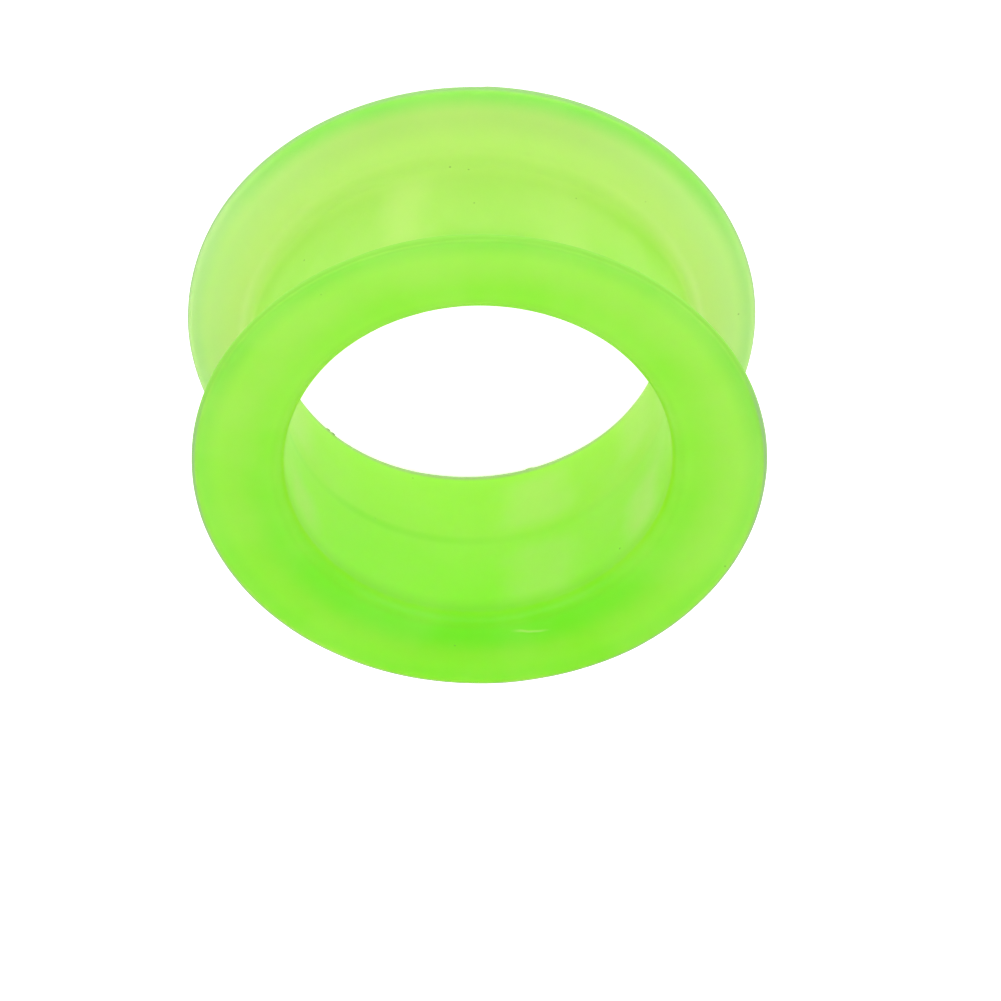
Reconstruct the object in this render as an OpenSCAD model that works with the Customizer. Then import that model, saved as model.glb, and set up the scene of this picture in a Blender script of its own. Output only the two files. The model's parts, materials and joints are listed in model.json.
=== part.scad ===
// Hollow ear gauge plug: one soft moulded tunnel with a flare at each end.
// It stands on its lower flare. The origin is the centre of that flare's end face, +Z runs along the bore.

/* [Barrel] */
// Outside diameter of the barrel, the size of the stretched ear lobe it sits in (22 mm is 7/8 inch)
gauge_d = 22; // [10:1:30]
// Thickness of the barrel's wall
wall = 1.5; // [1.2:0.1:2]
// Straight length of the barrel between the two flares, where the lobe lies
wear_l = 8.2; // [5:0.1:14]

/* [Flares] */
// How far each flare stands out from the barrel
flare_out = 3; // [2:0.25:4]
// Height of each flare, from its end face to where its sloping back meets the barrel
flare_h = 2; // [1.5:0.1:3]
// Thickness of the rounded lip at the edge of each flare
lip = 0.4; // [0.3:0.05:0.6]

/* [Bore] */
// Rounding between the bore and each end face
bore_round = 0.6; // [0.2:0.05:0.6]

/* [Hidden] */

barrel_r = gauge_d / 2;
bore_r = barrel_r - wall;
flare_r = barrel_r + flare_out;
total_l = wear_l + 2 * flare_h;

// Places in the section are [distance from the axis, height above the lower end face]
bore_edge_centre = [bore_r + bore_round, bore_round];
lip_r = lip / 2;
lip_centre = [flare_r - lip_r, lip_r];

// The sloping back runs straight from the barrel to where it touches the lip's circle
back_top = [barrel_r, flare_h];
to_back_top = back_top - lip_centre;
touch_angle = atan2(to_back_top[1], to_back_top[0]) - acos(lip_r / norm(to_back_top));
back_foot = lip_centre + lip_r * [cos(touch_angle), sin(touch_angle)];

// Corners of the section at the lower end, from the bore round the flare to the barrel
lower_corners = [
    [bore_r, bore_round],
    [bore_r + bore_round, 0],
    [flare_r - lip_r, 0],
    back_foot,
    back_top
];

round_fn = 64;
turn_fn = 240;

// The same place at the other end of the tunnel
function at_upper_end(place) = [place[0], total_l - place[1]];

// The lower end's corners, then the upper end's in the opposite order
function both_ends(corners) = concat(
    corners,
    [for (i = [len(corners) - 1 : -1 : 0]) at_upper_end(corners[i])]
);

// The round edge of that radius in each end of the section
module round_edges(centre, radius) {
    for (place = [centre, at_upper_end(centre)])
        translate(place)
            circle(r = radius, $fn = round_fn);
}

// Section through the wall on one side of the axis: a straight barrel with a thin-lipped flare at each end
module wall_section() {
    polygon(both_ends(lower_corners));
    round_edges(bore_edge_centre, bore_round);
    round_edges(lip_centre, lip_r);
}

// The tunnel, moulded in one piece with an open bore
module tunnel() {
    color([0.50, 0.92, 0.20])
        rotate_extrude($fn = turn_fn)
            wall_section();
}

tunnel();
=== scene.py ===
"""Dressed model of a hollow ear gauge plug: one soft moulded tunnel of translucent lime green silicone.

The section through the tunnel's wall is drawn at the frame's sizes and spun round the bore. Mould marks
are then raised on the mesh. The tunnel stands on its lower flare on a pale floor, between two softboxes
in a white tent.
"""

import json
import logging
import math
from collections.abc import Callable
from dataclasses import dataclass, field
from enum import Enum

import bmesh
import bpy
from mathutils import Matrix, Vector

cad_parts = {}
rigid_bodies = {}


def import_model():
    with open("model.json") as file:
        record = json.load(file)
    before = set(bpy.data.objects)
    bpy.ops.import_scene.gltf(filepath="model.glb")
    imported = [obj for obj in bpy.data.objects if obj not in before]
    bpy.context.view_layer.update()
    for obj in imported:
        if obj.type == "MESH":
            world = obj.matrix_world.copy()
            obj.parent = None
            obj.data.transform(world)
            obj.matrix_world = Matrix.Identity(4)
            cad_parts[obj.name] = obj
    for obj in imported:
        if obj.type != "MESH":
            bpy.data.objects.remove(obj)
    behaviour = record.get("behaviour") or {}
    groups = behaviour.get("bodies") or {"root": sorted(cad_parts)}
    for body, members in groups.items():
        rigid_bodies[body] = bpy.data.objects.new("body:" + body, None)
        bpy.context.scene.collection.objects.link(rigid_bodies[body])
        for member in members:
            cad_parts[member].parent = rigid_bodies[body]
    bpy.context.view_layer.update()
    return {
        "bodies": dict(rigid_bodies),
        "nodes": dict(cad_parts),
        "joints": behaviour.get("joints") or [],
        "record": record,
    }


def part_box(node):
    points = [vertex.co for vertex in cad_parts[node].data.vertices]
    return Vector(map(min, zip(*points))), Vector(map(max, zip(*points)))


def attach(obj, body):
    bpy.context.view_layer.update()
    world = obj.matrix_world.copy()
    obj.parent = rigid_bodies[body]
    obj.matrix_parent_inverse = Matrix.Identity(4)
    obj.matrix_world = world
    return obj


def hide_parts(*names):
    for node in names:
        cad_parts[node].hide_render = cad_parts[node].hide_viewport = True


log = logging.getLogger("ear gauge plug")

PICTURE_PX = 1001
MM = 0.001
MERGE_GAP = 1e-6
Colour = tuple[float, float, float]
Span = tuple[float, float]


class End(Enum):
    """The two ends of the tunnel. The value is the way its end face looks along the bore."""

    LOWER = -1
    UPPER = 1


class Part(Enum):
    """The parts of a mesh that are picked."""

    POINT = "VERT"
    EDGE = "EDGE"
    FACE = "FACE"


class Layer(Enum):
    """How one colour lies on another."""

    COVER = "MIX"
    FILTER = "MULTIPLY"


class Operation(Enum):
    """What a Math node does, by Blender's name for it."""

    ADD = "ADD"
    SUBTRACT = "SUBTRACT"
    MULTIPLY = "MULTIPLY"
    DIVIDE = "DIVIDE"
    ROOT = "SQRT"
    SIZE = "ABSOLUTE"
    LESS = "LESS_THAN"


class Term:
    """A number that varies over a surface: the output socket of a node, with the arithmetic of numbers."""

    def __init__(self, graph: "Graph", socket: bpy.types.NodeSocket | None) -> None:
        """Keeps the graph and the output socket, which is None for a node that has none."""
        self.graph = graph
        self.socket = socket

    def _math(self, operation: Operation, first: "Term | float", second: "Term | float") -> "Term":
        """What one Math node makes of two numbers."""
        return self.graph.node("ShaderNodeMath", {0: first, 1: second}, {"operation": operation.value})

    def __add__(self, other: "Term | float") -> "Term":
        """self + other."""
        return self._math(Operation.ADD, self, other)

    __radd__ = __add__

    def __sub__(self, other: "Term | float") -> "Term":
        """self - other."""
        return self._math(Operation.SUBTRACT, self, other)

    def __rsub__(self, other: "Term | float") -> "Term":
        """other - self."""
        return self._math(Operation.SUBTRACT, other, self)

    def __mul__(self, other: "Term | float") -> "Term":
        """self * other."""
        return self._math(Operation.MULTIPLY, self, other)

    def __truediv__(self, other: "Term | float") -> "Term":
        """self / other."""
        return self._math(Operation.DIVIDE, self, other)

    def root(self) -> "Term":
        """The square root."""
        return self._math(Operation.ROOT, self, 0.0)

    def size(self) -> "Term":
        """The number without its sign."""
        return self._math(Operation.SIZE, self, 0.0)

    def below(self, limit: "Term | float") -> "Term":
        """1 where it is less than the limit, else 0."""
        return self._math(Operation.LESS, self, limit)

    def beside(self, output: int | str) -> "Term":
        """Another output of the same node, by its name or number."""
        return Term(self.graph, self.socket.node.outputs[output])

    def ramp(self, start: "Term | float", stop: float) -> "Term":
        """A soft step.

        Args:
            start: the number at which it is 0.
            stop: the number at which it is 1, which may be the lower one.

        Returns:
            The step.
        """
        places = {"Value": self, "From Min": start, "From Max": stop}
        if not isinstance(start, Term) and start > stop:
            places = {"Value": self, "From Min": stop, "From Max": start, "To Min": 1.0, "To Max": 0.0}
        return self.graph.node("ShaderNodeMapRange", places, {"interpolation_type": "SMOOTHSTEP"})

    def within(self, span: Span, datum: float = 0.0) -> "Term":
        """A soft step over a span that is counted from a datum."""
        return self.ramp(datum + span[0], datum + span[1])


class Graph:
    """The node graph of one material or world, built a node at a time."""

    def __init__(self, owner: bpy.types.Material | bpy.types.World) -> None:
        """Gives its owner an empty node tree."""
        owner.use_nodes = True
        self.tree = owner.node_tree
        self.tree.nodes.clear()

    def node(self, kind: str, inputs: dict | None = None, settings: dict | None = None,
             output: int | str = 0) -> Term:
        """Adds one node.

        Args:
            kind: the node's type name.
            inputs: the value or Term of each input, by name or number.
            settings: its own settings, set first.
            output: the output to give back, by name or number.

        Returns:
            That output.
        """
        made = self.tree.nodes.new(kind)
        for name, value in (settings or {}).items():
            setattr(made, name, value)
        for name, value in (inputs or {}).items():
            if isinstance(value, Term):
                self.tree.links.new(value.socket, made.inputs[name])
            else:
                made.inputs[name].default_value = value
        return Term(self, made.outputs[output] if len(made.outputs) else None)

    def blend(self, share: "Term | float", first: "Term | Colour", second: "Term | Colour",
              layer: Layer = Layer.COVER) -> Term:
        """Lays one colour on another.

        Args:
            share: how much of the second colour there is.
            first: the colour at share 0.
            second: the colour at share 1.
            layer: how the second lies on the first.

        Returns:
            The mixed colour.
        """
        given = [c if isinstance(c, Term) else (*c, 1.0) for c in (first, second)]
        settings = {"data_type": "RGBA", "blend_type": layer.value, "clamp_factor": True}
        return self.node("ShaderNodeMix", {0: share, 6: given[0], 7: given[1]}, settings, 2)

    def filtered(self, share: Term, tone: Term, colour: Colour) -> Term:
        """A tone, with a share of it seen through a filter of that colour."""
        return self.blend(share, tone, self.blend(1.0, tone, colour, Layer.FILTER))

    def coated(self, share: Term, under: Term, over: Term) -> Term:
        """One shader, with a share of it covered by another."""
        return self.node("ShaderNodeMixShader", {0: share, 1: under, 2: over})

    def noise(self, place: Term, scale: float, octaves: float) -> Term:
        """Soft noise from 0 to 1, of that many waves a metre and octaves of detail."""
        return self.node("ShaderNodeTexNoise", {"Vector": place, "Scale": scale, "Detail": octaves})


@dataclass(frozen=True)
class Press:
    """How one soft rim is pressed a little out of round.

    turn is the direction that along goes in, in degrees from +X, and kept the place along it that stays.
    rim is how wide a border is gripped, and reach how far from there the surface follows.
    """

    turn: float
    along: float
    across: float
    kept: float
    rim: float = 0.5 * MM
    reach: float = 3.5 * MM

    @property
    def axes(self) -> Matrix:
        """The directions along and across, as the columns of a turn."""
        return Matrix.Rotation(math.radians(self.turn), 3, "Z")

    def relaxed(self, x: Term, y: Term, share: Term) -> Term:
        """Undoes the press.

        Args:
            x: the point's place along +X.
            y: its place along +Y.
            share: how far the point follows the rim.

        Returns:
            Its distance from the axis as if the rim were round.
        """
        cosine, sine = math.cos(math.radians(self.turn)), math.sin(math.radians(self.turn))
        u, v = x * cosine + y * sine, y * cosine - x * sine
        u = u - share * (u - self.kept) * (self.along - 1.0)
        v = v - share * v * (self.across - 1.0)
        return (u * u + v * v).root()


@dataclass
class TunnelSizes:
    """Sizes of the tunnel, in metres. The first five come from the frame."""

    flare_r: float
    length: float
    bore_r: float
    barrel_r: float
    groove_l: float
    lip: float = 0.4 * MM
    bore_round: float = 0.6 * MM
    worn_round: float = 0.95 * MM
    root_round: float = 1.2 * MM
    parting: float = 0.05 * MM
    splay: float = 1.009
    splay_reach: float = 8.0 * MM
    drift: float = 0.10 * MM
    upper_press: Press = Press(turn=65.6, along=0.985, across=1.011, kept=-7.0 * MM)
    lower_press: Press = Press(turn=45.0, along=0.9920, across=1.005, kept=-14.0 * MM)

    @classmethod
    def from_frame(cls, frame: dict) -> "TunnelSizes":
        """Reads the main sizes.


        Returns:
            The sizes of its tunnel.
        """
        low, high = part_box("tunnel")
        dims = {m["name"]: m["dims"] for m in frame["record"]["mounts"]}
        bore, seat = dims["through_bore"], dims["lobe_seat"]
        return cls(high.x, high.z - low.z, bore["r_mm"] * MM, seat["r_mm"] * MM, seat["length_mm"] * MM)

    @property
    def middle(self) -> float:
        """Height of the middle of the tunnel."""
        return self.length / 2

    @property
    def flare_h(self) -> float:
        """Height of each flare."""
        return (self.length - self.groove_l) / 2


@dataclass(frozen=True)
class TintZones:
    """Where each tint of the section starts and where it is whole, in metres."""

    # Places along +Y, where the painted shade comes in, with a lean towards +X, and where the lips'
    # painted-shade border turns dull
    shaded: Span = (-3.0 * MM, 12.0 * MM)
    shade_lean: float = 0.24
    dull_half: Span = (-6.0 * MM, -2.0 * MM)

    # Distances to either side of the middle, along X
    lit_sides: Span = (5.0 * MM, 12.0 * MM)
    lit_share: float = 0.3
    flare_sides: Span = (4.0 * MM, 13.0 * MM)
    barrel_sides: Span = (4.0 * MM, 11.0 * MM)
    barrel_middle: float = 0.4 * MM
    lip_sides: Span = (8.8 * MM, 14.6 * MM)
    lip_middle: float = -1.2 * MM

    # How thick the skin at the bore and at the barrel is, which has the whole of its own tint
    wall_skin: float = 0.2 * MM

    # Heights above the middle, how far below it the barrel's filter starts, and the filter's shares
    upper_half: Span = (-0.5 * MM, 0.5 * MM)
    half_share: float = 0.4
    barrel_drop: float = 4.0 * MM
    rise_share: float = 0.6

    # Heights from the upper end face
    mouth: Span = (-1.7 * MM, -0.5 * MM)

    # Heights from the lower end face
    lower_rim: Span = (1.05 * MM, 0.70 * MM)
    painted_shade: Span = (7.3 * MM, 8.6 * MM)
    lower_shade_border_top: Span = (0.42 * MM, 0.26 * MM)

    # Shares of the wall's thickness, from the bore
    lower_rim_depth: Span = (0.35, 0.15)

    # Distances from the nearer end face
    face: Span = (0.45 * MM, 0.05 * MM)

    # Distances from the nearer flare's root, along the barrel
    joint_light: Span = (1.6 * MM, -0.1 * MM)

    # Outward from the bore
    rounding: Span = (0.9 * MM, 0.4 * MM)

    # Outward from the barrel
    root: Span = (0.05 * MM, 0.40 * MM)
    slope: Span = (0.5 * MM, 1.9 * MM)
    outer_face: Span = (-0.4 * MM, 1.2 * MM)

    # Outward from the flares' edge, and how much further out the lower lip's tint starts
    lip: Span = (-1.4 * MM, -0.15 * MM)
    lower_lip_shift: float = 0.35 * MM
    upper_rim: Span = (-0.45 * MM, -0.25 * MM)
    outline: Span = (-0.3 * MM, -0.03 * MM)
    # Painted shade: the matt, darker border of the lips
    upper_shade_border: Span = (-0.20 * MM, -0.10 * MM)
    lower_shade_border: Span = (-0.50 * MM, -0.20 * MM)
    shade_border_share: float = 0.85


@dataclass(frozen=True)
class Spot:
    """Where a point of the tunnel's surface is: its coordinates, and its place in the section.

    low is 1 in the splayed lower half. radius is the distance from the axis as if nothing were splayed or
    pressed, and inset the distance from the nearer end face. wall is 0 at the bore and 1 at the barrel, and
    shade_share 0 on the -Y side, painted as lit, and 1 on the +Y side, painted as in shade.
    """

    graph: Graph
    sizes: TunnelSizes
    place: Term
    x: Term
    y: Term
    z: Term
    low: Term
    radius: Term
    inset: Term
    wall: Term
    shade_share: Term

    @classmethod
    def read(cls, graph: Graph, sizes: TunnelSizes, zones: TintZones) -> "Spot":
        """Adds the nodes that read it.

        Args:
            graph: the graph that it is read in.
            sizes: the tunnel's sizes.
            zones: where the painted shade comes in, and how thick the wall's skins are.

        Returns:
            The point.
        """
        place = graph.node("ShaderNodeTexCoord", output="Object")
        x = graph.node("ShaderNodeSeparateXYZ", {0: place})
        y, z = x.beside(1), x.beside(2)
        low = z.within((0.0, -1.0 * MM), sizes.middle)
        straight = x - low * sizes.drift
        rough = (straight * straight + y * y).root()
        pressed = []
        for press, along_x in ((sizes.upper_press, x), (sizes.lower_press, straight)):
            edge = sizes.flare_r - press.rim
            pressed.append(press.relaxed(along_x, y, rough.ramp(edge - press.reach, edge)))
        spread = low * (sizes.splay - 1.0) + 1.0
        radius = (pressed[0] * (1.0 - low) + pressed[1] * low) / spread
        inset = sizes.middle - (z - sizes.middle).size()
        wall = radius.ramp(sizes.bore_r + zones.wall_skin, sizes.barrel_r - zones.wall_skin)
        # Painted shade: each tint turns from its lit colour on the -Y side to its shaded colour on the +Y
        # side
        shade_share = (y + x * zones.shade_lean).within(zones.shaded)
        shade_share = shade_share * (1.0 - x.size().within(zones.lit_sides) * zones.lit_share)
        return cls(graph, sizes, place, x, y, z, low, radius, inset, wall, shade_share)

    def noise(self, scale: float, octaves: float) -> Term:
        """The graph's noise at the point."""
        return self.graph.noise(self.place, scale, octaves)


@dataclass(frozen=True)
class Tint:
    """The silicone's colour in one zone of the section: a lighter colour painted on the lit -Y side and a
    deeper one painted on the shaded +Y side.
    """

    lit_colour: Colour
    shaded: Colour

    def at(self, spot: Spot) -> Term:
        """The colour at a point."""
        return spot.graph.blend(spot.shade_share, self.lit_colour, self.shaded)


@dataclass(frozen=True)
class PartingTint:
    """The deeper green of the parting line round the bore: patchy, and stronger towards +X."""

    colour: Colour = (0.20, 0.64, 0.012)
    drop: float = 0.12 * MM
    half_width: Span = (0.5 * MM, 0.05 * MM)
    patch_scale: float = 170.0
    patch: Span = (0.35, 0.6)
    patch_least: float = 0.5
    side: Span = (-4.0 * MM, 4.0 * MM)
    side_share: float = 0.35
    side_least: float = 0.15

    def share(self, spot: Spot) -> Term:
        """How much of the colour a point takes.

        Args:
            spot: the point.

        Returns:
            The share.
        """
        patches = spot.noise(self.patch_scale, octaves=1.0).within(self.patch)
        faint = patches * (1.0 - self.patch_least) + self.patch_least
        faint = faint * (spot.x.within(self.side) * self.side_share + self.side_least)
        away = (spot.z - (spot.sizes.middle - self.drop)).size()
        return away.within(self.half_width) * (1.0 - spot.wall) * faint


@dataclass(frozen=True)
class HighlightStreak:
    """A painted highlight: a pale upright streak in the wall, soft at its sides and ends."""

    x: float
    y: float
    low: float
    high: float
    width: float
    strength: float
    core: Span = (0.75, 0.12)
    fade: float = 0.8 * MM

    def share(self, spot: Spot, wander: Term) -> Term:
        """How much painted highlight it lays on a point.

        Args:
            spot: the point.
            wander: how far its edges are moved there.

        Returns:
            The share, soft at the streak's sides and ends.
        """
        aside_x, aside_y = spot.x - self.x + wander, spot.y - self.y
        aside = (aside_x * aside_x + aside_y * aside_y).root()
        across = aside.ramp(self.core[0] * self.width, self.core[1] * self.width)
        rise = spot.z.ramp(self.low - self.fade, self.low + self.fade)
        fall = spot.z.ramp(self.high + self.fade, self.high - self.fade)
        return across * rise * fall * self.strength


@dataclass(frozen=True)
class CloudsAndHighlights:
    """All that makes the silicone paler in places: soft clouds in its tone, and painted highlights in
    upright streaks.
    """

    cloud_scale: float = 260.0
    cloud: Span = (0.3, 0.7)
    cloud_share: float = 0.10
    wander_scale: float = 500.0
    wander: float = 1.6 * MM
    # Painted highlights, upright on the barrel and in the bore
    highlight_streaks: tuple[HighlightStreak, ...] = (
        HighlightStreak(3.05 * MM, -10.57 * MM, 3.0 * MM, 9.0 * MM, 2.4 * MM, 0.20),
        HighlightStreak(-5.06 * MM, -9.77 * MM, 2.5 * MM, 8.5 * MM, 2.4 * MM, 0.06),
        HighlightStreak(-2.85 * MM, 9.06 * MM, 1.5 * MM, 5.2 * MM, 3.8 * MM, 0.33),
        HighlightStreak(-2.85 * MM, 9.06 * MM, 6.9 * MM, 11.2 * MM, 3.8 * MM, 0.25),
        HighlightStreak(8.70 * MM, 3.80 * MM, 1.0 * MM, 4.6 * MM, 2.6 * MM, 0.27),
        HighlightStreak(8.75 * MM, 3.70 * MM, 8.0 * MM, 10.7 * MM, 2.6 * MM, 0.27),
        HighlightStreak(-7.95 * MM, 5.20 * MM, 0.5 * MM, 4.3 * MM, 3.0 * MM, 0.29),
        HighlightStreak(-8.05 * MM, 5.04 * MM, 7.6 * MM, 10.8 * MM, 3.0 * MM, 0.38),
    )

    def share(self, spot: Spot) -> Term:
        """How pale a point is, from the clouds and the painted highlights.

        Args:
            spot: the point.

        Returns:
            The share of the pale colour.
        """
        wander = (spot.noise(self.wander_scale, octaves=2.0) - 0.5) * self.wander
        highlit = sum(highlight.share(spot, wander) for highlight in self.highlight_streaks)
        clouds = spot.noise(self.cloud_scale, octaves=3.0).within(self.cloud)
        return highlit + clouds * self.cloud_share


@dataclass(frozen=True)
class HighlightDash:
    """A short painted highlight on the upper end face, beside the bore, along X."""

    x: float = -2.2 * MM
    y: float = 10.45 * MM
    half_length: Span = (1.1 * MM, 0.3 * MM)
    half_width: Span = (0.12 * MM, 0.02 * MM)
    bend_scale: float = 900.0
    bend: float = 0.3 * MM
    on_top: Span = (11.9 * MM, 12.1 * MM)
    strength: float = 0.4

    def share(self, spot: Spot) -> Term:
        """How much it lightens a point.

        Args:
            spot: the point.

        Returns:
            The share of the pale colour.
        """
        bend = (spot.noise(self.bend_scale, octaves=1.0) - 0.5) * self.bend
        aside = (spot.y - self.y + bend).size().within(self.half_width)
        along = (spot.x - self.x).size().within(self.half_length)
        return aside * along * spot.z.within(self.on_top) * self.strength


@dataclass(frozen=True)
class Specks:
    """A few fine specks of dust caught in the mould."""

    scale: float = 900.0
    radius: Span = (0.065, 0.030)
    chance: float = 0.30
    strength: float = 0.5

    def share(self, spot: Spot) -> Term:
        """How much they cover a point."""
        away = spot.graph.node("ShaderNodeTexVoronoi", {"Vector": spot.place, "Scale": self.scale})
        return away.within(self.radius) * away.beside("Color").below(self.chance) * self.strength


@dataclass(frozen=True)
class Crumb:
    """One crumb of mould flash at the bore's lower edge. azimuth is in degrees from +X."""

    azimuth: float
    height: float
    reach: float
    proud: float
    grimy: bool = True
    stain: Span = (0.9, 0.4)
    stain_strength: float = 0.8

    @property
    def outward(self) -> Vector:
        """The direction from the bore's axis to it."""
        turn = math.radians(self.azimuth)
        return Vector((math.cos(turn), math.sin(turn), 0.0))

    def centre(self, sizes: TunnelSizes) -> Vector:
        """Where it is on the worn, splayed edge of the bore.

        Args:
            sizes: the tunnel's sizes.

        Returns:
            The point.
        """
        worn = sizes.worn_round
        radius = sizes.bore_r + worn - math.sqrt(worn * worn - (worn - self.height) ** 2)
        return self.outward * radius * sizes.splay + Vector((sizes.drift, 0, self.height))

    def grime(self, spot: Spot) -> Term:
        """How much the grime on its tip covers a point.

        Args:
            spot: the point.

        Returns:
            The share.
        """
        ends = {0: spot.place, 1: self.centre(spot.sizes) - self.outward * self.proud}
        away = spot.graph.node("ShaderNodeVectorMath", ends, {"operation": "DISTANCE"}, "Value")
        return away.ramp(self.stain[0] * self.reach, self.stain[1] * self.reach) * self.stain_strength


@dataclass(frozen=True)
class Satin:
    """How dull the skin is: satin, duller on the walls and the lips, and patchy where it was handled."""

    face: float = 0.34
    wall: float = 0.48
    lip: float = 0.65
    patch_scale: float = 420.0
    patch: float = 0.16
    on_wall: Span = (0.2 * MM, 1.0 * MM)
    off_slope: Span = (1.0 * MM, 0.0)
    on_lip: Span = (-0.4 * MM, -0.1 * MM)

    def roughness(self, spot: Spot) -> Term:
        """The roughness at a point.

        Args:
            spot: the point.

        Returns:
            The roughness.
        """
        worn = spot.noise(self.patch_scale, octaves=4.0) * self.patch + (self.face - self.patch / 2)
        wall = spot.inset.within(self.on_wall) * spot.radius.within(self.off_slope, spot.sizes.barrel_r)
        lip = spot.radius.within(self.on_lip, spot.sizes.flare_r)
        return wall * (self.wall - self.face) + lip * (self.lip - self.face) + worn


@dataclass(frozen=True)
class Grain:
    """The fine texture that the mould's own surface leaves."""

    scale: float = 5200.0
    height: float = 0.04 * MM
    strength: float = 0.12

    def relief(self, spot: Spot) -> Term:
        """The surface's direction with the grain on it.

        Args:
            spot: the point.

        Returns:
            The direction.
        """
        grains = spot.noise(self.scale, octaves=2.0)
        sizes = {"Strength": self.strength, "Distance": self.height, "Height": grains}
        return spot.graph.node("ShaderNodeBump", sizes)


@dataclass(frozen=True)
class SiliconeFinish:
    """Translucent lime green silicone, satin as it leaves the mould.

    The thick barrel is the most saturated, the thin sloping flares let more white through, and their lips
    gather the green. Light and shade are painted into the hue: lighter on the -Y side, deeper on the +Y
    side.
    """

    bore: Tint = Tint((0.345, 0.645, 0.026), (0.325, 0.715, 0.047))
    mouth: Tint = Tint((0.25, 0.63, 0.010), (0.205, 0.64, 0.018))
    rounding: Tint = Tint((0.220, 0.60, 0.030), (0.150, 0.595, 0.004))
    barrel: Tint = Tint((0.30, 0.555, 0.078), (0.26, 0.59, 0.042))
    barrel_side: Tint = Tint((0.23, 0.55, 0.035), (0.205, 0.58, 0.020))
    # Painted light: the joint and root tints are lighter than the barrel and the slopes beside them, in the
    # roots' crease
    joint_light: Tint = Tint((0.37, 0.64, 0.102), (0.32, 0.64, 0.062))
    root: Tint = Tint((0.42, 0.67, 0.130), (0.36, 0.66, 0.080))
    root_side_light: Tint = Tint((0.48, 0.71, 0.185), (0.41, 0.70, 0.125))
    slope: Tint = Tint((0.38, 0.59, 0.134), (0.32, 0.60, 0.080))
    slope_side: Tint = Tint((0.45, 0.68, 0.212), (0.38, 0.67, 0.140))
    inner_face: Tint = Tint((0.240, 0.65, 0.033), (0.140, 0.65, 0.002))
    outer_face: Tint = Tint((0.28, 0.64, 0.055), (0.208, 0.65, 0.008))
    upper_lip: Tint = Tint((0.205, 0.54, 0.056), (0.175, 0.575, 0.013))
    lower_lip: Tint = Tint((0.218, 0.56, 0.085), (0.190, 0.58, 0.050))
    side_lip: Tint = Tint((0.375, 0.59, 0.250), (0.300, 0.59, 0.160))
    outline: Tint = Tint((0.135, 0.35, 0.078), (0.130, 0.37, 0.050))
    lower_rim: Tint = Tint((0.290, 0.385, 0.165), (0.280, 0.400, 0.160))
    upper_filter: Colour = (0.78, 1.05, 0.46)
    upper_rim_shade_filter: Colour = (0.945, 0.93, 0.97)
    painted_shade_filter: Colour = (0.82, 0.965, 0.86)
    # Colours of the lips' painted-shade border, green and grey
    green_shade_border: Colour = (0.195, 0.50, 0.053)
    grey_shade_border: Colour = (0.240, 0.420, 0.160)
    # Pale colour of the clouds and of the painted highlights
    pale_and_highlight: Colour = (0.52, 0.66, 0.21)
    dirt: Colour = (0.07, 0.13, 0.05)
    zones: TintZones = TintZones()
    parting: PartingTint = PartingTint()
    clouds_and_highlights: CloudsAndHighlights = CloudsAndHighlights()
    highlight_dash: HighlightDash = HighlightDash()
    specks: Specks = Specks()
    satin: Satin = Satin()
    grain: Grain = Grain()
    depth: float = 1.5 * MM
    spread: Colour = (1.0, 0.8, 0.75)
    forward: float = 0.2
    refraction: float = 1.41
    gloss: float = 0.28
    matt_roughness: float = 0.8
    matt_gloss: float = 0.1

    def material(self, sizes: TunnelSizes, flash: tuple[Crumb, ...]) -> bpy.types.Material:
        """Makes the material.

        Args:
            sizes: the tunnel's sizes.
            flash: its crumbs of flash.

        Returns:
            The material.
        """
        made = bpy.data.materials.new("lime silicone")
        graph = Graph(made)
        spot = Spot.read(graph, sizes, self.zones)
        relief = self.grain.relief(spot)
        skin = graph.node("ShaderNodeBsdfPrincipled", {
            "Base Color": self._colour(spot),
            "Roughness": self.satin.roughness(spot),
            "Normal": relief,
            "IOR": self.refraction,
            "Specular IOR Level": self.gloss,
            "Subsurface Weight": 1.0,
            "Subsurface Radius": self.spread,
            "Subsurface Scale": self.depth,
            "Subsurface Anisotropy": self.forward,
        }, {"subsurface_method": "RANDOM_WALK"})
        # Painted shade: a matt, darker skin over the lips' outermost border, greyer on the lower flare and
        # the +Y half of the upper one
        shaded_border = self._matt(graph.blend(self._dull(spot), self.green_shade_border, self.grey_shade_border), relief)
        skin = graph.coated(self._shade_border_share(spot), skin, shaded_border)
        surface = graph.coated(self._dirt_share(spot, flash), skin, self._matt((*self.dirt, 1.0), relief))
        graph.node("ShaderNodeOutputMaterial", {"Surface": surface})
        return made

    def _matt(self, colour: "Term | tuple[float, ...]", relief: Term) -> Term:
        """A matt, dense shader.

        Args:
            colour: its colour.
            relief: the surface's direction.

        Returns:
            The shader.
        """
        return relief.graph.node("ShaderNodeBsdfPrincipled", {
            "Base Color": colour,
            "Roughness": self.matt_roughness,
            "Specular IOR Level": self.matt_gloss,
            "Normal": relief,
        })

    def _colour(self, spot: Spot) -> Term:
        """The silicone's whole colour at a point, with its paler clouds and the painted highlights."""
        cloud_and_highlight_share = self.clouds_and_highlights.share(spot) + self.highlight_dash.share(spot)
        return spot.graph.blend(cloud_and_highlight_share, self._section_tint(spot), self.pale_and_highlight)

    def _dirt_share(self, spot: Spot, flash: tuple[Crumb, ...]) -> Term:
        """How much specks of dust and the tips of the grimy crumbs cover a point."""
        return sum((crumb.grime(spot) for crumb in flash if crumb.grimy), self.specks.share(spot))

    def _dull(self, spot: Spot) -> Term:
        """1 on the lower flare and on the +Y half of the upper one, else 0."""
        return spot.y.within(self.zones.dull_half) * (1.0 - spot.low) + spot.low

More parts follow.
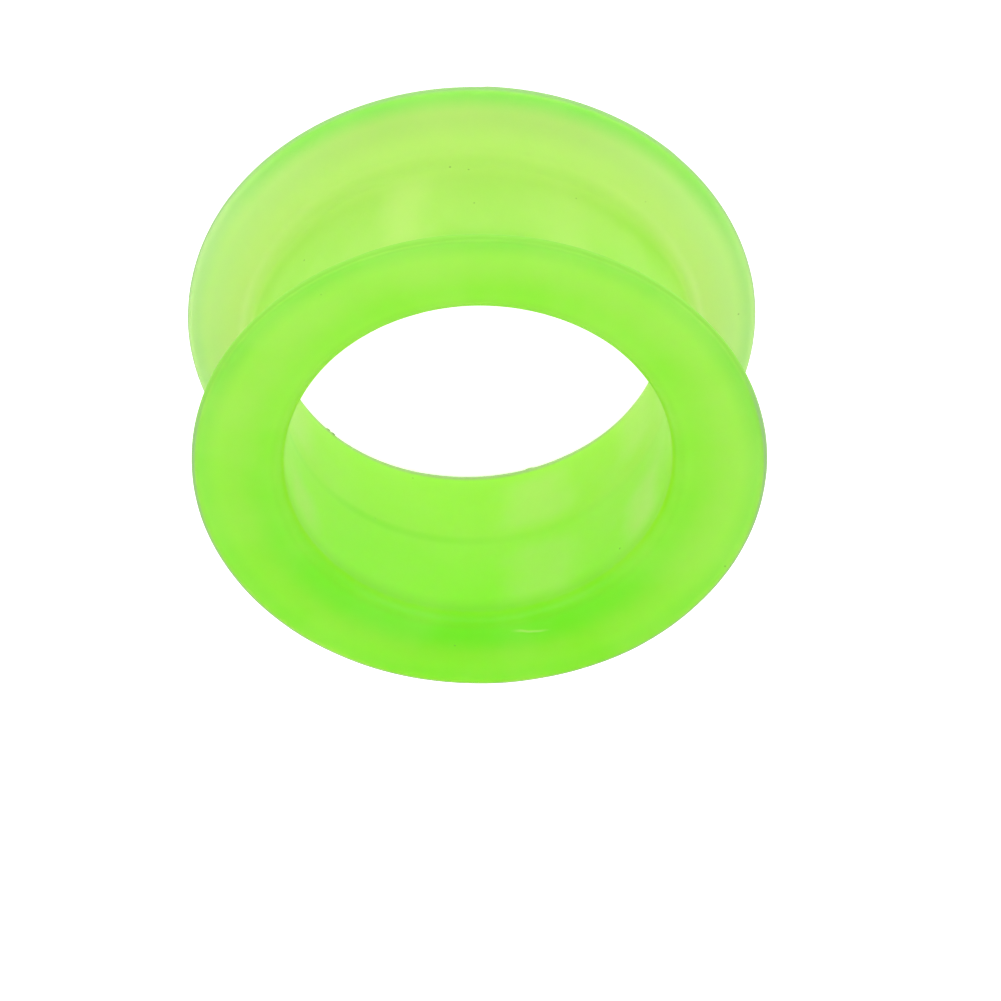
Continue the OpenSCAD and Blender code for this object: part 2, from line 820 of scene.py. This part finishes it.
    def _shade_border_share(self, spot: Spot) -> Term:
        """How much of the matt, darker painted-shade skin covers the lips' outermost border.

        Args:
            spot: the point.

        Returns:
            The share of the painted-shade skin.
        """
        zones, flare_r = self.zones, spot.sizes.flare_r
        upper = spot.radius.within(zones.upper_shade_border, flare_r) * (1.0 - spot.low)
        at_lip = spot.radius.within(zones.lower_shade_border, flare_r)
        lower = spot.z.within(zones.lower_shade_border_top) * at_lip * spot.low
        return (upper + lower) * zones.shade_border_share

    def _section_tint(self, spot: Spot) -> Term:
        """The tints of the bore, barrel, slopes, faces and lips, each run softly into the next."""
        return self._lip_tint(spot, self._face_tint(spot, self._slope_tint(spot, self._wall_tint(spot))))

    def _wall_tint(self, spot: Spot) -> Term:
        """The tints of the bore and the barrel.

        Args:
            spot: the point.

        Returns:
            The tint, with the bore's mouth, parting line and lower rim.
        """
        zones, sizes, graph = self.zones, spot.sizes, spot.graph
        turned = (spot.x - zones.barrel_middle).size().within(zones.barrel_sides)
        barrel = graph.blend(turned, self.barrel.at(spot), self.barrel_side.at(spot))
        tone = graph.blend(spot.wall, self.bore.at(spot), barrel)
        half = spot.z.within(zones.upper_half, sizes.middle) * (1.0 - spot.wall)
        rise = spot.z.ramp(sizes.middle - spot.wall * zones.barrel_drop, sizes.length)
        tone = graph.filtered(half * zones.half_share + rise * zones.rise_share, tone, self.upper_filter)
        tone = graph.blend(spot.z.within(zones.mouth, sizes.length), tone, self.mouth.at(spot))
        tone = graph.blend(self.parting.share(spot), tone, self.parting.colour)
        in_rim = spot.z.within(zones.lower_rim) * spot.wall.within(zones.lower_rim_depth)
        return graph.blend(in_rim, tone, self.lower_rim.at(spot))

    def _slope_tint(self, spot: Spot, tone: Term) -> Term:
        """The tints of the flares' sloping backs and of the barrel beside them, with painted shade on the
        barrel under the upper flare and painted light at the flares' roots.

        Args:
            spot: the point.
            tone: the tint so far.

        Returns:
            The tint with these.
        """
        zones, sizes, graph = self.zones, spot.sizes, spot.graph
        aside = spot.x.size().within(zones.flare_sides)
        # Painted shade: the barrel darker just under the upper flare
        tone = graph.filtered(spot.z.within(zones.painted_shade) * spot.wall, tone, self.painted_shade_filter)
        # Painted light: the joint and root lighter than the barrel and slope, over the shade in the roots'
        # crease
        at_joint_light = spot.inset.within(zones.joint_light, sizes.flare_h) * spot.wall
        tone = graph.blend(at_joint_light, tone, self.joint_light.at(spot))
        root = graph.blend(aside, self.root.at(spot), self.root_side_light.at(spot))
        tone = graph.blend(spot.radius.within(zones.root, sizes.barrel_r), tone, root)
        slope = graph.blend(aside, self.slope.at(spot), self.slope_side.at(spot))
        return graph.blend(spot.radius.within(zones.slope, sizes.barrel_r), tone, slope)

    def _face_tint(self, spot: Spot, tone: Term) -> Term:
        """The tints of the end faces and of the rounding at the bore.

        Args:
            spot: the point.
            tone: the tint so far.

        Returns:
            The tint with these.
        """
        zones, sizes, graph = self.zones, spot.sizes, spot.graph
        outward = spot.radius.within(zones.outer_face, sizes.barrel_r)
        face = graph.blend(outward, self.inner_face.at(spot), self.outer_face.at(spot))
        face = graph.blend(spot.radius.within(zones.rounding, sizes.bore_r), face, self.rounding.at(spot))
        return graph.blend(spot.inset.within(zones.face), tone, face)

    def _lip_tint(self, spot: Spot, tone: Term) -> Term:
        """The tints of the lips and of their thin outline, with painted shade where the upper lip starts to
        round.

        Args:
            spot: the point.
            tone: the tint so far.

        Returns:
            The tint with these.
        """
        zones, flare_r, graph = self.zones, spot.sizes.flare_r, spot.graph
        aside = (spot.x - zones.lip_middle).size().within(zones.lip_sides)
        lower = graph.blend(aside, self.lower_lip.at(spot), self.side_lip.at(spot))
        lip = graph.blend(spot.low, self.upper_lip.at(spot), lower)
        inner = spot.low * zones.lower_lip_shift + (flare_r + zones.lip[0])
        tone = graph.blend(spot.radius.ramp(inner, flare_r + zones.lip[1]), tone, lip)
        # Painted shade: a slightly darker band where the upper lip starts to round
        at_rim = spot.radius.within(zones.upper_rim, flare_r) * (1.0 - spot.low)
        tone = graph.filtered(at_rim, tone, self.upper_rim_shade_filter)
        at_edge = spot.radius.within(zones.outline, flare_r) * (1.0 - spot.low)
        return graph.blend(at_edge * self._dull(spot), tone, self.outline.at(spot))


@dataclass(frozen=True)
class FloorFinish:
    """Matt white paper, a touch uneven and lit from below."""

    colour: Colour = (0.9, 0.9, 0.9)
    fibre: Colour = (0.86, 0.86, 0.86)
    fibre_scale: float = 90.0
    fibre_share: float = 0.1
    roughness: float = 0.9
    gloss: float = 0.2
    glow: float = 0.7

    def material(self) -> bpy.types.Material:
        """Makes the material.

        Returns:
            The material.
        """
        made = bpy.data.materials.new("white paper")
        graph = Graph(made)
        place = graph.node("ShaderNodeTexCoord", output="Object")
        fibres = graph.noise(place, self.fibre_scale, octaves=3.0) * self.fibre_share
        shader = graph.node("ShaderNodeBsdfPrincipled", {
            "Base Color": graph.blend(fibres, self.colour, self.fibre),
            "Roughness": self.roughness,
            "Specular IOR Level": self.gloss,
            "Emission Strength": self.glow,
        })
        graph.node("ShaderNodeOutputMaterial", {"Surface": shader})
        return made


class Workpiece:
    """A mesh object that is shaped in edit mode with the modelling operators."""

    # How much of its surroundings a pull divides and grips, in its own reach, and into how many cuts
    DIVIDED = 2.0
    GRIPPED = 0.4
    PULL_CUTS = 3

    def __init__(self, name: str, add: Callable[[], object]) -> None:
        """Adds the object.

        Args:
            name: the object's name.
            add: adds the primitive that it starts from.
        """
        add()
        self.obj = bpy.context.active_object
        self.obj.name = self.obj.data.name = name

    @staticmethod
    def drop(part: Part) -> None:
        """Deselects all of the mesh, to pick parts of that kind."""
        bpy.ops.mesh.select_mode(type=part.value)
        bpy.ops.mesh.select_all(action="DESELECT")

    def edit(self, part: Part = Part.POINT) -> None:
        """Opens the mesh with nothing selected, to pick parts of that kind."""
        bpy.ops.object.mode_set(mode="EDIT")
        self.drop(part)

    @staticmethod
    def close() -> None:
        """Back to object mode."""
        bpy.ops.object.mode_set(mode="OBJECT")

    def pick(self, test: Callable[[Vector], bool]) -> None:
        """Selects the points that pass a test, and only them.

        Args:
            test: whether a point at that place is wanted.
        """
        self.drop(Part.POINT)
        mesh = bmesh.from_edit_mesh(self.obj.data)
        for vert in mesh.verts:
            vert.select = test(vert.co)
        mesh.select_flush(True)
        bmesh.update_edit_mesh(self.obj.data)

    def pick_at(self, x: float, z: float) -> None:
        """Selects the section's point at a place."""
        self.pick(lambda p: math.hypot(p.x - x, p.z - z) < MERGE_GAP)

    def divide_sides(self, longest: float) -> None:
        """Divides each long edge of the section into an even number of parts.

        Args:
            longest: the most that a part may measure.
        """
        while True:
            mesh = bmesh.from_edit_mesh(self.obj.data)
            side = max(mesh.edges, key=lambda e: e.calc_length())
            if side.calc_length() <= longest:
                return
            parts = 2 * math.ceil(side.calc_length() / longest / 2)
            self.drop(Part.EDGE)
            side.select_set(True)
            bmesh.update_edit_mesh(self.obj.data)
            bpy.ops.mesh.subdivide(number_cuts=parts - 1)

    def pull(self, centre: Vector, reach: float, by: Vector) -> None:
        """Divides the surface finely round one place and draws the place out.

        Args:
            centre: where, on the surface.
            reach: how far from it the surface follows.
            by: how far the middle moves.
        """
        self.pick(lambda p: (p - centre).length < self.DIVIDED * reach)
        bpy.ops.mesh.subdivide(number_cuts=self.PULL_CUTS)
        self.pick(lambda p: (p - centre).length < self.GRIPPED * reach)
        bpy.ops.transform.translate(
            value=by, use_proportional_edit=True, use_proportional_connected=True,
            proportional_edit_falloff="SMOOTH", proportional_size=reach)


@dataclass(frozen=True)
class Corner:
    """A corner of the section, between a point before it and one after it, and the round that it gets."""

    before: Vector
    place: Vector
    after: Vector
    radius: float
    steps: int = 6

    def round_off(self, piece: Workpiece) -> None:
        """Rounds it.

        Args:
            piece: the section that it is in.
        """
        reach = self.radius / math.tan((self.before - self.place).angle(self.after - self.place) / 2)
        piece.pick_at(self.place.x, self.place.z)
        bpy.ops.mesh.bevel(
            offset=reach, segments=self.steps, profile=0.5, affect="VERTICES", clamp_overlap=False)


@dataclass(frozen=True)
class Swell:
    """How uneven the moulded surface is at one scale."""

    name: str
    size: float
    height: float

    def raise_on(self, piece: Workpiece) -> None:
        """Raises the piece's surface by it.

        Args:
            piece: the piece that gets it.
        """
        cloud = bpy.data.textures.new(self.name, "CLOUDS")
        cloud.noise_scale = self.size
        lift = piece.obj.modifiers.new(self.name, "DISPLACE")
        lift.texture, lift.texture_coords = cloud, "LOCAL"
        lift.strength, lift.mid_level = self.height, 0.5
        bpy.ops.object.modifier_apply(modifier=self.name)


@dataclass
class Tunnel:
    """The whole plug: a straight barrel with an open bore and a thin sloping flare at each end."""

    sizes: TunnelSizes
    finish: SiliconeFinish = field(default_factory=SiliconeFinish)
    turn_steps: int = 256
    mouth_steps: int = 8
    side_step: float = 0.35 * MM
    rim_depth: float = 1.0 * MM
    sole: float = 0.06 * MM
    smooth_angle: float = 40.0
    name: str = "silicone_tunnel"
    swells: tuple[Swell, ...] = (
        Swell("moulded swell", 11 * MM, 0.10 * MM),
        Swell("moulded ripple", 3 * MM, 0.02 * MM),
    )
    flash: tuple[Crumb, ...] = (
        Crumb(40.4, 0.62 * MM, 0.16 * MM, 0.07 * MM),
        Crumb(42.4, 0.66 * MM, 0.16 * MM, 0.06 * MM),
        Crumb(105.5, 0.37 * MM, 0.24 * MM, 0.05 * MM, grimy=False),
    )

    def build(self) -> bpy.types.Object:
        """Returns:
            The finished tunnel, riding on the frame.
        """
        piece = self._draw_wall()
        for end in End:
            self._draw_flare(piece, end)
        self._close_section(piece)
        self._spin_round(piece)
        self._splay_foot(piece)
        self._press_rim(piece, End.LOWER, self.sizes.lower_press)
        self._press_rim(piece, End.UPPER, self.sizes.upper_press)
        self._leave_flash(piece)
        self._settle_surface(piece)
        piece.obj.data.materials.append(self.finish.material(self.sizes, self.flash))
        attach(piece.obj, "root")
        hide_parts("tunnel")
        return piece.obj

    def _draw_wall(self) -> Workpiece:
        """Draws the straight part of the wall's section.

        Returns:
            The piece, still a flat section.
        """
        s = self.sizes
        centre = ((s.bore_r + s.barrel_r) / 2, 0.0, s.middle)
        piece = Workpiece(self.name, lambda: bpy.ops.mesh.primitive_plane_add(
            size=1.0, location=centre, rotation=(math.pi / 2, 0.0, 0.0)))
        piece.obj.scale = (s.barrel_r - s.bore_r, s.groove_l, 1.0)
        bpy.ops.object.transform_apply(location=True, rotation=True, scale=True)
        return piece

    def _lip_shoulder(self) -> float:
        """Where the sloping back, which touches the lip's round, meets the line of the lip's edge.

        Returns:
            The height of that corner above the flare's end face.
        """
        s = self.sizes
        lip_r = s.lip / 2
        centre = Vector((s.flare_r - lip_r, lip_r))
        out = Vector((s.barrel_r, s.flare_h)) - centre
        angle = math.atan2(out.y, out.x) - math.acos(lip_r / out.length)
        foot = centre + lip_r * Vector((math.cos(angle), math.sin(angle)))
        slope = (s.flare_h - foot.y) / (s.barrel_r - foot.x)
        return foot.y + slope * (s.flare_r - foot.x)

    def _height(self, end: End, above: float) -> float:
        """The height above the floor of a place that far inside an end."""
        return above if end is End.LOWER else self.sizes.length - above

    def _draw_flare(self, piece: Workpiece, end: End) -> None:
        """Extrudes one flare's section from the wall.

        Args:
            piece: the section.
            end: the end that it is at.
        """
        s = self.sizes
        face = self._height(end, 0)
        root, shoulder = self._height(end, s.flare_h), self._height(end, self._lip_shoulder())
        piece.edit()
        piece.pick(lambda p: abs(p.z - root) < MERGE_GAP)
        bpy.ops.mesh.extrude_region_move(TRANSFORM_OT_translate={"value": (0, 0, shoulder - root)})
        piece.pick_at(s.barrel_r, shoulder)
        bpy.ops.transform.translate(value=(s.flare_r - s.barrel_r, 0, 0))
        piece.pick(lambda p: abs(p.z - shoulder) < MERGE_GAP)
        bpy.ops.mesh.extrude_region_move(TRANSFORM_OT_translate={"value": (0, 0, face - shoulder)})
        piece.close()

    def _corners(self, end: End) -> tuple[Corner, ...]:
        """The section's corners at one end.

        Args:
            end: the end.

        Returns:
            The corners at the bore, the flare's root and both sides of the lip.
        """
        s = self.sizes
        face, root = self._height(end, 0), self._height(end, s.flare_h)
        bore, rim = Vector((s.bore_r, 0, face)), Vector((s.flare_r, 0, face))
        shoulder = self._height(end, self._lip_shoulder())
        lip, foot = Vector((s.flare_r, 0, shoulder)), Vector((s.barrel_r, 0, root))
        inside, outside = Vector((s.bore_r, 0, s.middle)), Vector((s.barrel_r, 0, s.middle))
        mouth = s.worn_round if end is End.LOWER else s.bore_round
        return (
            Corner(inside, bore, rim, mouth, self.mouth_steps),
            Corner(lip, foot, outside, s.root_round),
            Corner(bore, rim, lip, s.lip / 2),
            Corner(rim, lip, foot, s.lip / 2),
        )

    def _close_section(self, piece: Workpiece) -> None:
        """Makes the section one outline, rounds its corners and divides its long sides.

        Args:
            piece: the section.
        """
        s = self.sizes
        piece.edit(Part.FACE)
        bpy.ops.mesh.select_all(action="SELECT")
        bpy.ops.mesh.dissolve_faces()
        piece.pick(lambda p: abs(p.x - s.bore_r) < MERGE_GAP and MERGE_GAP < p.z < s.length - MERGE_GAP)
        bpy.ops.mesh.dissolve_verts()
        for end in End:
            for corner in self._corners(end):
                corner.round_off(piece)
        bpy.ops.mesh.select_all(action="SELECT")
        bpy.ops.mesh.remove_doubles(threshold=MERGE_GAP)
        bpy.ops.mesh.delete(type="ONLY_FACE")
        piece.divide_sides(self.side_step)
        piece.pick_at(s.bore_r, s.middle)
        bpy.ops.transform.translate(value=(-s.parting, 0, 0))
        piece.close()

    def _spin_round(self, piece: Workpiece) -> None:
        """Spins the outline round the bore's axis.

        Args:
            piece: the outline, which becomes the tunnel.
        """
        piece.edit()
        bpy.ops.mesh.select_all(action="SELECT")
        bpy.ops.mesh.spin(steps=self.turn_steps, angle=math.tau, center=(0, 0, 0), axis=(0, 0, 1))
        bpy.ops.mesh.select_all(action="SELECT")
        bpy.ops.mesh.remove_doubles(threshold=MERGE_GAP)
        bpy.ops.mesh.normals_make_consistent(inside=False)
        piece.close()

    def _splay_foot(self, piece: Workpiece) -> None:
        """Spreads the soft lower end a little under the weight, and slightly aside.

        Args:
            piece: the tunnel.
        """
        s = self.sizes
        soft = {
            "use_proportional_edit": True,
            "proportional_edit_falloff": "SMOOTH",
            "proportional_size": s.splay_reach,
        }
        piece.edit()
        piece.pick(lambda p: p.z < s.lip)
        bpy.ops.transform.resize(value=(s.splay, s.splay, 1.0), center_override=(0, 0, 0), **soft)
        bpy.ops.transform.translate(value=(s.drift, 0, 0), **soft)
        piece.close()

    def _press_rim(self, piece: Workpiece, end: End, press: Press) -> None:
        """Presses one soft rim a little out of round.

        Args:
            piece: the tunnel.
            end: the end that the rim is at.
            press: how it is pressed.
        """
        face, edge = self._height(end, 0.0), self.sizes.flare_r - press.rim
        piece.edit()
        piece.pick(lambda p: math.hypot(p.x, p.y) > edge and abs(p.z - face) < self.rim_depth)
        bpy.ops.transform.resize(
            value=(press.along, press.across, 1.0), orient_type="GLOBAL", orient_matrix=press.axes,
            orient_matrix_type="GLOBAL", center_override=press.axes @ Vector((press.kept, 0.0, face)),
            use_proportional_edit=True, proportional_edit_falloff="SMOOTH", proportional_size=press.reach)
        piece.close()

    def _leave_flash(self, piece: Workpiece) -> None:
        """Leaves the crumbs of flash that stick out at the lower edge of the bore.

        Args:
            piece: the tunnel.
        """
        piece.edit()
        for crumb in self.flash:
            piece.pull(crumb.centre(self.sizes), crumb.reach, crumb.outward * -crumb.proud)
        piece.close()

    def _settle_surface(self, piece: Workpiece) -> None:
        """Makes the soft surface slightly uneven but flat where it stands, and smooths it.

        Args:
            piece: the tunnel.
        """
        for swell in self.swells:
            swell.raise_on(piece)
        piece.edit()
        piece.pick(lambda p: p.z < self.sole)
        bpy.ops.transform.resize(value=(1, 1, 0), center_override=(0, 0, 0))
        piece.close()
        bpy.ops.object.shade_smooth_by_angle(angle=math.radians(self.smooth_angle))


@dataclass(frozen=True)
class Softbox:
    """One square area light that looks at the tunnel."""

    name: str
    azimuth: float
    elevation: float = 50.0
    distance: float = 0.11
    side: float = 0.08
    power: float = 0.034

    def place(self, target: Vector) -> None:
        """Adds the light.

        Args:
            target: the point that it looks at.
        """
        turn, rise = math.radians(self.azimuth), math.radians(self.elevation)
        back = Vector((math.sin(turn) * math.cos(rise), -math.cos(turn) * math.cos(rise), math.sin(rise)))
        bpy.ops.object.light_add(type="AREA", location=target + back * self.distance)
        light = bpy.context.active_object
        light.name = light.data.name = self.name
        light.rotation_euler = (-back).to_track_quat("-Z", "Y").to_euler()
        light.data.size, light.data.energy = self.side, self.power
        light.visible_camera = False


@dataclass(frozen=True)
class Sight:
    """The camera's sight of the tunnel, as solved from the photograph's outlines."""

    elevation: float = 52.23
    roll: float = 182.55
    distance: float = 0.63654
    right: float = -1.072 * MM
    down: float = -1.697 * MM
    focal_px: float = 13000.0
    sensor: float = 36.0
    clip: Span = (0.01, 20.0)

    def place(self, target: Vector) -> None:
        """Adds the camera.

        Args:
            target: the middle of the upper end face.
        """
        rise, roll = math.radians(self.elevation), math.radians(self.roll)
        forward = Vector((0.0, math.cos(rise), -math.sin(rise)))
        level_down = Vector((0.0, -math.sin(rise), -math.cos(rise)))
        level_right = Vector((1.0, 0.0, 0.0))
        right = math.cos(roll) * level_right + math.sin(roll) * level_down
        down = -math.sin(roll) * level_right + math.cos(roll) * level_down
        bpy.ops.object.camera_add()
        camera = bpy.context.active_object
        camera.name = "photo camera"
        turned = Matrix((right, -down, -forward)).transposed().to_4x4()
        spot = target - self.right * right - self.down * down - self.distance * forward
        camera.matrix_world = Matrix.Translation(spot) @ turned
        camera.data.sensor_width = self.sensor
        camera.data.lens = self.focal_px / PICTURE_PX * self.sensor
        camera.data.clip_start, camera.data.clip_end = self.clip
        bpy.context.scene.camera = camera


@dataclass
class Studio:
    """A pale floor, two softboxes, a white tent and the camera."""

    sizes: TunnelSizes
    floor: FloorFinish = field(default_factory=FloorFinish)
    floor_side: float = 3.0
    sight: Sight = field(default_factory=Sight)
    tent: float = 1.0
    lights: tuple[Softbox, ...] = (Softbox("left softbox", -42.0), Softbox("right softbox", 42.0))

    def build(self) -> None:
        """Builds all of it and sets the scene's camera."""
        self._lay_floor()
        self._light()
        self.sight.place(Vector((0.0, 0.0, self.sizes.length)))

    def _lay_floor(self) -> None:
        """Lays the floor under the tunnel."""
        bpy.ops.mesh.primitive_plane_add(size=self.floor_side)
        floor = bpy.context.active_object
        floor.name = "floor"
        floor.data.materials.append(self.floor.material())

    def _light(self) -> None:
        """Places the lights and the tent, and keeps the picture's colours plain."""
        target = Vector((0.0, 0.0, self.sizes.middle))
        for light in self.lights:
            light.place(target)
        world = bpy.data.worlds.new("white tent")
        graph = Graph(world)
        glow = graph.node("ShaderNodeBackground", {"Color": (1, 1, 1, 1), "Strength": self.tent})
        graph.node("ShaderNodeOutputWorld", {"Surface": glow})
        bpy.context.scene.world = world
        bpy.context.scene.view_settings.view_transform = "Standard"


def main() -> None:
    """Builds the tunnel and its studio on the frame."""
    logging.basicConfig(level=logging.INFO, format="%(name)s: %(message)s")
    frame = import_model()
    sizes = TunnelSizes.from_frame(frame)
    tunnel = Tunnel(sizes).build()
    log.info("%s has %d faces", tunnel.name, len(tunnel.data.polygons))
    Studio(sizes).build()
    log.info("studio is lit")


if __name__ == "__main__":
    main()
